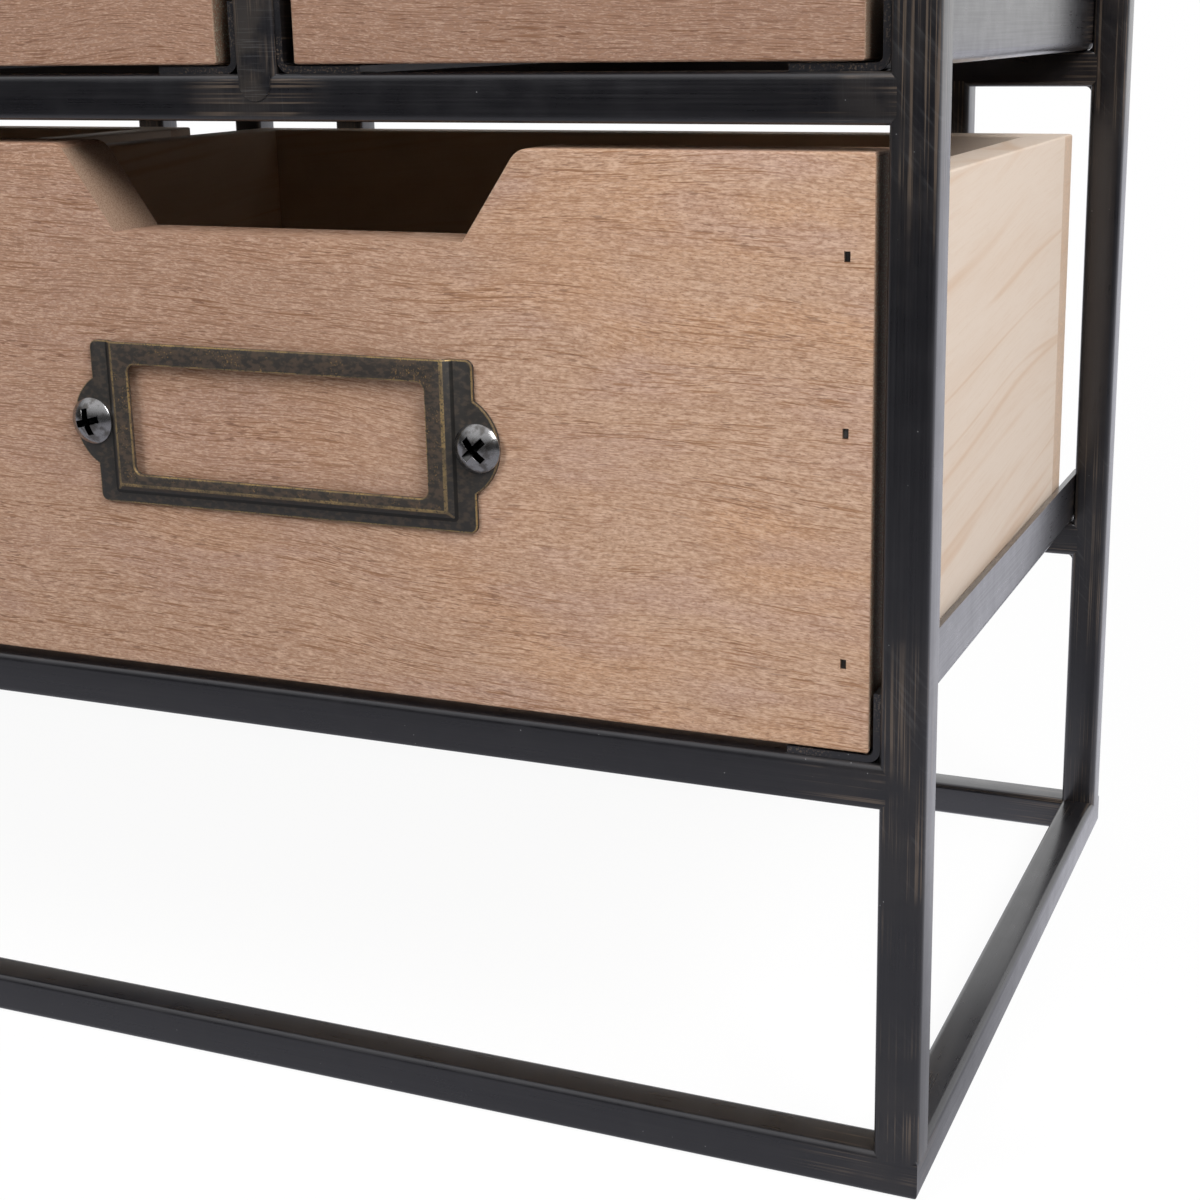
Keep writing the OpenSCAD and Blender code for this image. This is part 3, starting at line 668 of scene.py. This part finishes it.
def soften(bm, geom, offset, segments, affect="EDGES", clamp=True):
    """Rounds edges, or the corners of flat faces, and returns the faces that this makes."""
    made = bmesh.ops.bevel(
        bm, geom=geom, offset=offset, offset_type="OFFSET", segments=segments, profile=0.5,
        affect=affect, clamp_overlap=clamp, material=-1,
    )
    return made["faces"]


def everything(bm):
    """All corners, edges and faces of a bmesh."""
    return bm.verts[:] + bm.edges[:] + bm.faces[:]


def verts_in(geom):
    """The corners among the parts that an extrusion returns."""
    return [part for part in geom if isinstance(part, bmesh.types.BMVert)]


def pull(bm, face, way):
    """Draws a solid out of a face, and returns the corners of its far end."""
    far = verts_in(bmesh.ops.extrude_face_region(bm, geom=[face])["geom"])
    bmesh.ops.translate(bm, verts=far, vec=way)
    return far


def sharp_edges(bm, degrees, convex):
    """Edges whose faces meet at more than an angle and bulge, or hollow where convex is false."""
    return [
        edge for edge in bm.edges
        if len(edge.link_faces) == 2
        and edge.calc_face_angle() > math.radians(degrees)
        and (edge.calc_face_angle_signed() > 0.0) == convex
    ]


def stamped_holder(sizes, low, high):
    """A label holder between the corners of its CAD node: flange, ears, slopes and a raised frame round a window."""
    bm = bmesh.new()
    half_w = sizes.plate_w / 2.0
    half_h = (high.z - low.z) / 2.0
    ear_x = (high.x - low.x) / 2.0 - sizes.ear_r
    flat_y = -sizes.sheet
    top_y = low.y - high.y
    base_x = half_w - sizes.flange
    top_x = base_x - sizes.slope
    base_z = sizes.foot - half_h
    top_z = base_z + sizes.slope
    window_x = top_x - sizes.bar
    sill = top_z + sizes.bar_foot
    head = half_h - sizes.bar_top
    ear_angle = math.acos((half_w - ear_x) / sizes.ear_r)

    def spot(x, y, z):
        return bm.verts.new((x, y, z))

    ear = [spot(half_w, flat_y, sizes.ear_r * math.sin(ear_angle))]
    bmesh.ops.spin(
        bm, geom=ear, cent=(ear_x, flat_y, 0.0), axis=(0.0, 1.0, 0.0), angle=2.0 * ear_angle, steps=14
    )
    ear = sorted(bm.verts, key=lambda vert: -vert.co.z)
    corners = [spot(half_w, flat_y, half_h), spot(half_w, flat_y, -half_h)]
    foot_mid, base_mid = spot(0.0, flat_y, -half_h), spot(0.0, flat_y, base_z)
    base_low, base_high = spot(base_x, flat_y, base_z), spot(base_x, flat_y, half_h)
    top_mid, top_low, top_high = spot(0.0, top_y, top_z), spot(top_x, top_y, top_z), spot(top_x, top_y, half_h)
    panes = [spot(window_x, top_y, sill), spot(window_x, top_y, head)]
    bm.faces.new([base_high, corners[0], *ear, corners[1], foot_mid, base_mid, base_low])
    bm.faces.new([base_high, base_low, top_low, top_high])
    bm.faces.new([base_low, base_mid, top_mid, top_low])
    bm.faces.new([
        top_high, top_low, top_mid, spot(0.0, top_y, sill), panes[0], panes[1],
        spot(0.0, top_y, head), spot(0.0, top_y, half_h),
    ])
    soften(bm, corners, sizes.corner, segments=5, affect="VERTICES")
    soften(bm, panes, sizes.window_corner, segments=5, affect="VERTICES")
    bmesh.ops.mirror(bm, geom=everything(bm), axis="X", merge_dist=MERGE_GAP)
    bmesh.ops.recalc_face_normals(bm, faces=bm.faces[:])
    if sum(face.normal.y * face.calc_area() for face in bm.faces) > 0.0:
        bmesh.ops.reverse_faces(bm, faces=bm.faces[:])
    # Wear is 0 on flat margins and slopes, 0.3 on the raised frame, up to 1 on worn edges and -1 under grime.
    wear = bm.faces.layers.float.new("wear")
    for face in bm.faces:
        face[wear] = 0.3 if abs(face.calc_center_median().y - top_y) < 0.01 * MM else 0.0
    for convex, amount in ((True, 0.8), (False, -1.0)):
        for face in soften(bm, sharp_edges(bm, 22.0, convex), sizes.bend, segments=3):
            face[wear] = amount
    rims = [edge for edge in bm.edges if edge.is_boundary]
    bmesh.ops.solidify(bm, geom=bm.faces[:], thickness=sizes.sheet)
    for face in soften(bm, rims, sizes.edge, segments=2, clamp=False):
        face[wear] = 1.0
    shade_by_angle(bm, 40.0)
    bmesh.ops.translate(bm, verts=bm.verts[:], vec=((low.x + high.x) / 2.0, high.y, (low.z + high.z) / 2.0))
    return bm


def domed_screw(sizes, angle):
    """A domed head with a cross recess, standing on the X-Z plane and facing -Y."""
    bm = bmesh.new()
    radius = sizes.head_d / 2.0
    dome = sizes.head_h - sizes.rim
    ball = (radius ** 2 + dome ** 2) / (2.0 * dome)
    bmesh.ops.create_uvsphere(bm, u_segments=56, v_segments=64, radius=ball)
    bmesh.ops.bisect_plane(
        bm, geom=everything(bm), plane_co=(0.0, 0.0, ball - dome), plane_no=(0.0, 0.0, 1.0), clear_inner=True
    )
    rim = [edge for edge in bm.edges if edge.is_boundary]
    skirt = bmesh.ops.extrude_edge_only(bm, edges=rim)["geom"]
    bmesh.ops.translate(bm, verts=verts_in(skirt), vec=(0.0, 0.0, -sizes.rim))
    arm = sizes.arm / 2.0
    span = sizes.recess / 2.0
    for axis in ((1.0, 0.0, 0.0), (0.0, 1.0, 0.0)):
        for cut in (-span, -arm, arm, span):
            bmesh.ops.bisect_plane(
                bm, geom=everything(bm), plane_co=[part * cut for part in axis], plane_no=axis, dist=MERGE_GAP
            )
    cross = []
    for face in bm.faces:
        spot = face.calc_center_median()
        close, far = sorted((abs(spot.x), abs(spot.y)))
        if close < arm and far < span and spot.z > ball - dome:
            cross.append(face)
    bmesh.ops.recalc_face_normals(bm, faces=bm.faces[:])
    lip = {edge for face in cross for edge in face.edges if not all(link in cross for link in edge.link_faces)}
    floor = bmesh.ops.extrude_face_region(bm, geom=cross)["geom"]
    bmesh.ops.delete(bm, geom=[face for face in cross if face.is_valid], context="FACES_ONLY")
    deep = verts_in(floor)
    bmesh.ops.scale(bm, verts=deep, vec=(sizes.taper, sizes.taper, 1.0))
    bmesh.ops.translate(bm, verts=deep, vec=(0.0, 0.0, -sizes.depth))
    soften(bm, [edge for edge in lip if edge.is_valid and len(edge.link_faces) == 2], sizes.lip, segments=2)
    # The recess's walls and floor are marked here, and the plated material paints them black as shade.
    pit = bm.faces.layers.float.new("pit")
    low = {vert for vert in deep if vert.is_valid}
    for face in bm.faces:
        face[pit] = 1.0 if low.intersection(face.verts) else 0.0
    bmesh.ops.translate(bm, verts=bm.verts[:], vec=(0.0, 0.0, sizes.head_h - ball))
    shade_by_angle(bm, 45.0)
    upright = Matrix.Rotation(math.radians(90.0), 3, "X") @ Matrix.Rotation(angle, 3, "Z")
    bmesh.ops.rotate(bm, verts=bm.verts[:], cent=(0.0, 0.0, 0.0), matrix=upright)
    return bm


def weld_tongue(bm, sizes, across, face_y, deck):
    """A ground weld on a rail's face below a strut, with a round lower end."""
    half = sizes.tongue_w / 2.0
    before = set(bm.verts)
    start = bm.verts.new((across + half, face_y, deck - sizes.tongue_drop + half))
    bmesh.ops.spin(
        bm, geom=[start], cent=(across, face_y, start.co.z), axis=(0.0, 1.0, 0.0), angle=math.pi, steps=16
    )
    rim = sorted(set(bm.verts) - before, key=lambda vert: vert.co.x)
    top = [bm.verts.new((across + side * half, face_y, deck + sizes.tongue_rise)) for side in (1.0, -1.0)]
    far = set(pull(bm, bm.faces.new([*rim, *top]), (0.0, -sizes.proud, 0.0)))
    high = {vert for vert in far if vert.co.z > deck}
    bmesh.ops.translate(bm, verts=list(high), vec=(0.0, sizes.proud * sizes.ground, 0.0))
    front = [edge for edge in bm.edges if far.issuperset(edge.verts) and not high.issuperset(edge.verts)]
    soften(bm, front, sizes.proud * sizes.rounding, segments=3)


def weld_fillet(bm, sizes, corner, side, way):
    """A hollow weld bead along Y in the corner between a rail and a post. Side and way give its quarter."""
    size = sizes.fillet
    before = set(bm.verts)
    start = bm.verts.new((corner.x - side * size, corner.y, corner.z))
    bmesh.ops.spin(
        bm, geom=[start], cent=start.co + Vector((0.0, 0.0, way * size)), axis=(0.0, 1.0, 0.0),
        angle=side * way * math.pi / -2.0, steps=6,
    )
    arc = sorted(set(bm.verts) - before, key=lambda vert: side * vert.co.x)
    pull(bm, bm.faces.new([*arc, bm.verts.new(corner)]), (0.0, sizes.bead, 0.0))


class CHEST_OT_steel(bpy.types.Operator):
    """Finish the welded frame and its runners in dark lacquer"""

    bl_idname = "chest.steel"
    bl_label = "Lacquer the frame"

    def execute(self, context):
        settings = context.scene.chest_steel
        # A joint is a place along the tube and the reach of its marks, in millimetres.
        low, high = (corner / MM for corner in cad_box)
        levels = ("front_foot_rail", "lower_front_rail", "upper_front_rail", "top_front_rail")
        tiers = [(middle(name).z / MM, 34.0) for name in levels]
        ends = [(low.x, 26.0), (0.0, 18.0), (high.x, 26.0)]
        bays = [(middle(f"{side}_wide_label_holder").x / MM, 16.0) for side in ("left", "right")]
        depth = [(low.y, 24.0), (high.y, 24.0)]
        split, strut, *plain = (
            lacquered_steel(f"frame_steel_{name}", along, joints, bare, slanted, settings)
            for name, along, joints, bare, slanted in (
                ("split", 0, ends + bays, 0.45, 0.0),
                ("strut", 2, tiers, 0.85, 0.0),
                ("wide", 0, ends, 0.2, 0.0),
                ("deep", 1, depth, 0.0, 0.0),
                ("upright", 2, tiers, 0.2, 0.4),
            )
        )
        special = {"upper_front_rail": split, "top_front_rail": split, "front_struts": strut}
        for name in slot_nodes("frame_steel"):
            dress(name, special.get(name) or plain[tube_axis(name)])
        return {"FINISHED"}


class CHEST_OT_boards(bpy.types.Operator):
    """Finish the drawers' boards and the top panel in wood"""

    bl_idname = "chest.boards"
    bl_label = "Finish the boards"

    def execute(self, context):
        settings = context.scene.chest_wood
        across = pale_wood("side_wood_across", 0, settings.side, settings)
        deep = pale_wood("side_wood_deep", 1, settings.side, settings)
        for name in slot_nodes("side_wood"):
            dress(name, deep if name.endswith("sides") else across)
        for slot, material in (
            ("front_wood", figured_wood("front_wood_figured", False, settings)),
            ("top_wood", figured_wood("top_wood_figured", True, settings)),
            ("bottom_ply", pale_wood("bottom_ply_across", 0, settings.ply, settings)),
        ):
            for name in slot_nodes(slot):
                dress(name, material)
        return {"FINISHED"}


class CHEST_OT_label_holders(bpy.types.Operator):
    """Model the stamped label holders, with worn bends and edges"""

    bl_idname = "chest.label_holders"
    bl_label = "Model the label holders"

    def execute(self, context):
        settings = context.scene.chest_label_holder
        material = patinated_bronze("label_bronze_worn", settings)
        for drawer in DRAWERS:
            node = f"{drawer}_label_holder"
            bm = stamped_holder(settings, *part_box(node))
            new_piece(bm, f"{drawer}_stamped_holder", material, f"{drawer}_drawer", [node])
        return {"FINISHED"}


class CHEST_OT_screws(bpy.types.Operator):
    """Model the domed screws of the label holders, and finish the top panel's screws"""

    bl_idname = "chest.screws"
    bl_label = "Model the screws"

    def execute(self, context):
        settings = context.scene.chest_screw
        zinc = plated("panel_screw_zinc_bright", settings.zinc, settings.tarnish, roughness=0.32)
        for name in slot_nodes("panel_screw_zinc"):
            dress(name, zinc)
        material = plated("screw_nickel_dark", settings.nickel, settings.tarnish, roughness=0.17)
        radius = settings.head_d / 2.0
        for drawer in DRAWERS:
            node = f"{drawer}_label_screws"
            low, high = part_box(node)
            pair = bmesh.new()
            for across, angle in ((low.x + radius, settings.left_turn), (high.x - radius, settings.right_turn)):
                bm = domed_screw(settings, angle)
                foot = Vector((across, low.y + settings.head_h, (low.z + high.z) / 2.0))
                bmesh.ops.translate(bm, verts=bm.verts[:], vec=foot)
                scrap = bpy.data.meshes.new("screw_scrap")
                bm.to_mesh(scrap)
                bm.free()
                pair.from_mesh(scrap)
                bpy.data.meshes.remove(scrap)
            new_piece(pair, f"{drawer}_domed_screws", material, f"{drawer}_drawer", [node])
        return {"FINISHED"}


class CHEST_OT_brads(bpy.types.Operator):
    """Model the brads' heads, sunk in the pockets of the fronts and backs"""

    bl_idname = "chest.brads"
    bl_label = "Model the brads"

    def execute(self, context):
        settings = context.scene.chest_brad
        material = plated("brad_steel_dark", settings.dark, settings.bare, roughness=0.45)
        for drawer in DRAWERS:
            front_low, front_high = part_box(f"{drawer}_front")
            back_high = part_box(f"{drawer}_back")[1]
            reach = (front_high.x - front_low.x - settings.side_t) / 2.0
            bottom = front_low.z + settings.low
            top = back_high.z - settings.high
            rows = (bottom, (bottom + top) / 2.0 + settings.mid_shift, top)
            across = middle(f"{drawer}_front").x
            bm = bmesh.new()
            for floor, way in ((front_low.y + settings.sunk, -1.0), (back_high.y - settings.sunk, 1.0)):
                for side in (-1.0, 1.0):
                    for row in rows:
                        self.add_head(bm, settings, Vector((across + side * reach, floor, row)), way)
            bmesh.ops.recalc_face_normals(bm, faces=bm.faces[:])
            shade_by_angle(bm, 50.0)
            new_piece(bm, f"{drawer}_brads", material, f"{drawer}_drawer")
        return {"FINISHED"}

    def add_head(self, bm, sizes, spot, way):
        """One head on the floor of its pocket: a block with worn edges, wider at its foot."""
        half = Vector((sizes.width / 2.0, 0.0, sizes.height / 2.0))
        corners = [
            bm.verts.new(spot + Vector((half.x * x, 0.0, half.z * z)))
            for x, z in ((-1.0, -1.0), (1.0, -1.0), (1.0, 1.0), (-1.0, 1.0))
        ]
        far = pull(bm, bm.faces.new(corners), (0.0, way * sizes.stand, 0.0))
        for vert in far:
            vert.co.x = spot.x + (vert.co.x - spot.x) * sizes.taper
        ring = set(far)
        soften(bm, [edge for edge in bm.edges if ring.issuperset(edge.verts)], sizes.stand / 2.0, segments=2)


class CHEST_OT_welds(bpy.types.Operator):
    """Model the ground welds under the struts and the fillets in the rear corners"""

    bl_idname = "chest.welds"
    bl_label = "Model the welds"

    def execute(self, context):
        settings = context.scene.chest_weld
        face_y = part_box("front_struts")[0].y
        decks = {name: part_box(f"{name}_front_rail")[1].z for name in ("lower", "upper")}
        spots = [(middle(f"{side}_wide_label_holder").x, decks["upper"]) for side in ("left", "right")]
        spots += [(0.0, deck) for deck in decks.values()]
        bm = bmesh.new()
        for across, deck in spots:
            weld_tongue(bm, settings, across, face_y, deck)
        self.finish(bm, "strut_welds", "frame_steel_strut")

        bm = bmesh.new()
        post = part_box("rear_right_post")[0].x
        for rail in ("lower_rear_rail", "upper_rear_rail"):
            low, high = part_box(rail)
            for side in (-1.0, 1.0):
                for level, way in ((low.z, -1.0), (high.z, 1.0)):
                    corner = Vector((side * post, low.y + settings.set_in, level))
                    weld_fillet(bm, settings, corner, side, way)
        self.finish(bm, "rear_weld_fillets", "frame_steel_wide")
        return {"FINISHED"}

    def finish(self, bm, name, material):
        """Makes a piece of the frame out of the welds in a bmesh."""
        bmesh.ops.recalc_face_normals(bm, faces=bm.faces[:])
        shade_by_angle(bm, 45.0)
        new_piece(bm, name, bpy.data.materials[material], "frame")


class CHEST_OT_stage(bpy.types.Operator):
    """Set up the floor, the lamps and the camera"""

    bl_idname = "chest.stage"
    bl_label = "Set up the stage"

    def execute(self, context):
        scene = context.scene
        settings = scene.chest_stage
        self.add_floor(settings)
        self.add_world(scene, settings)
        for name, place, power, mirrored in (
            ("front_lamp", settings.key_place, settings.key, False),
            ("glint_lamp", settings.key_place, settings.glint, True),
            ("side_lamp", settings.side_place, settings.side, True),
            ("rear_lamp", settings.rear_place, settings.rear, False),
        ):
            lamp = self.add_lamp(scene, settings, name, place)
            lamp.data.energy = power
            lamp.visible_glossy = mirrored
        self.add_camera(scene, settings)
        scene.view_settings.view_transform = "Standard"
        return {"FINISHED"}

    def add_floor(self, settings):
        """A floor that the camera sees white but for the chest's soft shadow, and that the steel mirrors."""
        material, paint = new_material("floor_white")
        seen = paint.ray("Camera")
        dust = paint.marks((3.0, 3.0, 3.0), detail=3.0)
        paper = paint.blend(dust.rise(0.3, 0.7), settings.paper, settings.dust)
        matt = paint.node("BsdfDiffuse", {"Color": paint.blend(seen, settings.floor, paper)})
        back = paint.axes()[1]
        image = paint.layers(
            settings.floor_far,
            (back.rise(-900.0, -110.0), settings.floor_near),
            (back.rise(-45.0, 90.0), settings.floor_rear),
        )
        sweep = paint.node("Emission", {"Color": image})
        glow = paint.node("Emission", {"Color": (1.0, 1.0, 1.0, 1.0), "Strength": 1.0})
        lit = paint.node("MixShader", {0: paint.ray("Glossy") * 0.9, 1: matt, 2: sweep})
        away = paint.node("VectorMath", {0: paint.place()}, "Value", operation="LENGTH").rise(0.35, 1.0)
        lifted = settings.white + away * (1.0 - settings.white)
        both = paint.node("MixShader", {0: seen * lifted, 1: lit, 2: glow})
        paint.node("OutputMaterial", {"Surface": both})
        bm = bmesh.new()
        bmesh.ops.create_grid(bm, x_segments=1, y_segments=1, size=FLOOR_HALF_WIDTH)
        bmesh.ops.translate(bm, verts=bm.verts[:], vec=(0.0, 0.0, -FLOOR_DROP))
        floor = new_object(bm, "floor", material)

    def add_world(self, scene, settings):
        """Soft light, mostly from above. Mirrored, it is bright above and behind and dark in front; seen, white."""
        scene.world = bpy.data.worlds.new("studio")
        scene.world.use_nodes = True
        paint = Paint(scene.world.node_tree)
        _, back, up = paint.parts(paint.node("TexCoord", output="Generated"))
        above = up.rise(0.10, 0.85)
        mirrored = paint.ray("Glossy").most(paint.ray("Transmission"))
        soft = (0.05 + above * 0.95) * settings.ambient
        bright = 0.03 + back.rise(-0.20, 0.35).most(above) * 0.87
        lit = soft + mirrored * (bright - soft)
        strength = lit + paint.ray("Camera") * (1.0 - lit)
        sky = paint.node("Background", {"Color": (1.0, 1.0, 1.0, 1.0), "Strength": strength})
        paint.node("OutputWorld", {"Surface": sky})

    def add_lamp(self, scene, settings, name, place):
        """A soft square lamp that faces the chest."""
        light = bpy.data.lights.new(name, "AREA")
        light.shape = "SQUARE"
        light.size = settings.lamp
        lamp = bpy.data.objects.new(name, light)
        lamp.location = place
        lamp.rotation_euler = (settings.aim - place).to_track_quat("-Z", "Y").to_euler()
        scene.collection.objects.link(lamp)
        return lamp

    def add_camera(self, scene, settings):
        """A camera that looks along +Y, turned by its yaw, pitch and roll."""
        lens = bpy.data.cameras.new("camera")
        lens.sensor_width = SENSOR_MM
        lens.lens = settings.lens
        lens.shift_x = settings.shift_x
        lens.shift_y = settings.shift_y
        lens.clip_start = NEAR_CLIP
        camera = bpy.data.objects.new("camera", lens)
        scene.collection.objects.link(camera)
        ahead = Vector((
            -math.sin(settings.yaw) * math.cos(settings.pitch),
            math.cos(settings.yaw) * math.cos(settings.pitch),
            -math.sin(settings.pitch),
        ))
        level = ahead.cross(Vector((0.0, 0.0, 1.0))).normalized()
        down = ahead.cross(level)
        right = math.cos(settings.roll) * level + math.sin(settings.roll) * down
        fall = math.cos(settings.roll) * down - math.sin(settings.roll) * level
        facing = Matrix((right, -fall, -ahead)).transposed().to_4x4()
        camera.matrix_world = Matrix.Translation(settings.place) @ facing
        scene.camera = camera


class CHEST_PT_panel(bpy.types.Panel):
    """Settings and steps of the chest of drawers"""

    bl_label = "Chest of drawers"
    bl_idname = "CHEST_PT_panel"
    bl_space_type = "VIEW_3D"
    bl_region_type = "UI"
    bl_category = "Chest"

    def draw(self, context):
        for group, (settings, operator) in STEPS.items():
            box = self.layout.box()
            box.label(text=settings.__doc__)
            for name in settings.__annotations__:
                box.prop(getattr(context.scene, group), name)
            box.operator(operator.bl_idname)


STEPS = {
    "chest_steel": (ChestSteel, CHEST_OT_steel),
    "chest_wood": (ChestWood, CHEST_OT_boards),
    "chest_label_holder": (ChestLabelHolder, CHEST_OT_label_holders),
    "chest_screw": (ChestScrew, CHEST_OT_screws),
    "chest_brad": (ChestBrad, CHEST_OT_brads),
    "chest_weld": (ChestWeld, CHEST_OT_welds),
    "chest_stage": (ChestStage, CHEST_OT_stage),
}


def register():
    """Adds the settings, the operators and the panel."""
    for group, (settings, operator) in STEPS.items():
        bpy.utils.register_class(settings)
        setattr(bpy.types.Scene, group, PointerProperty(type=settings))
        bpy.utils.register_class(operator)
    bpy.utils.register_class(CHEST_PT_panel)


def unregister():
    """Takes the panel, the operators and the settings away."""
    bpy.utils.unregister_class(CHEST_PT_panel)
    for group, (settings, operator) in reversed(STEPS.items()):
        bpy.utils.unregister_class(operator)
        delattr(bpy.types.Scene, group)
        bpy.utils.unregister_class(settings)


def main():
    """Finishes the chest and sets up the stage."""
    register()
    bpy.ops.chest.steel()
    bpy.ops.chest.boards()
    bpy.ops.chest.label_holders()
    bpy.ops.chest.screws()
    bpy.ops.chest.brads()
    bpy.ops.chest.welds()
    bpy.ops.chest.stage()
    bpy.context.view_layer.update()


if __name__ == "__main__":
    main()
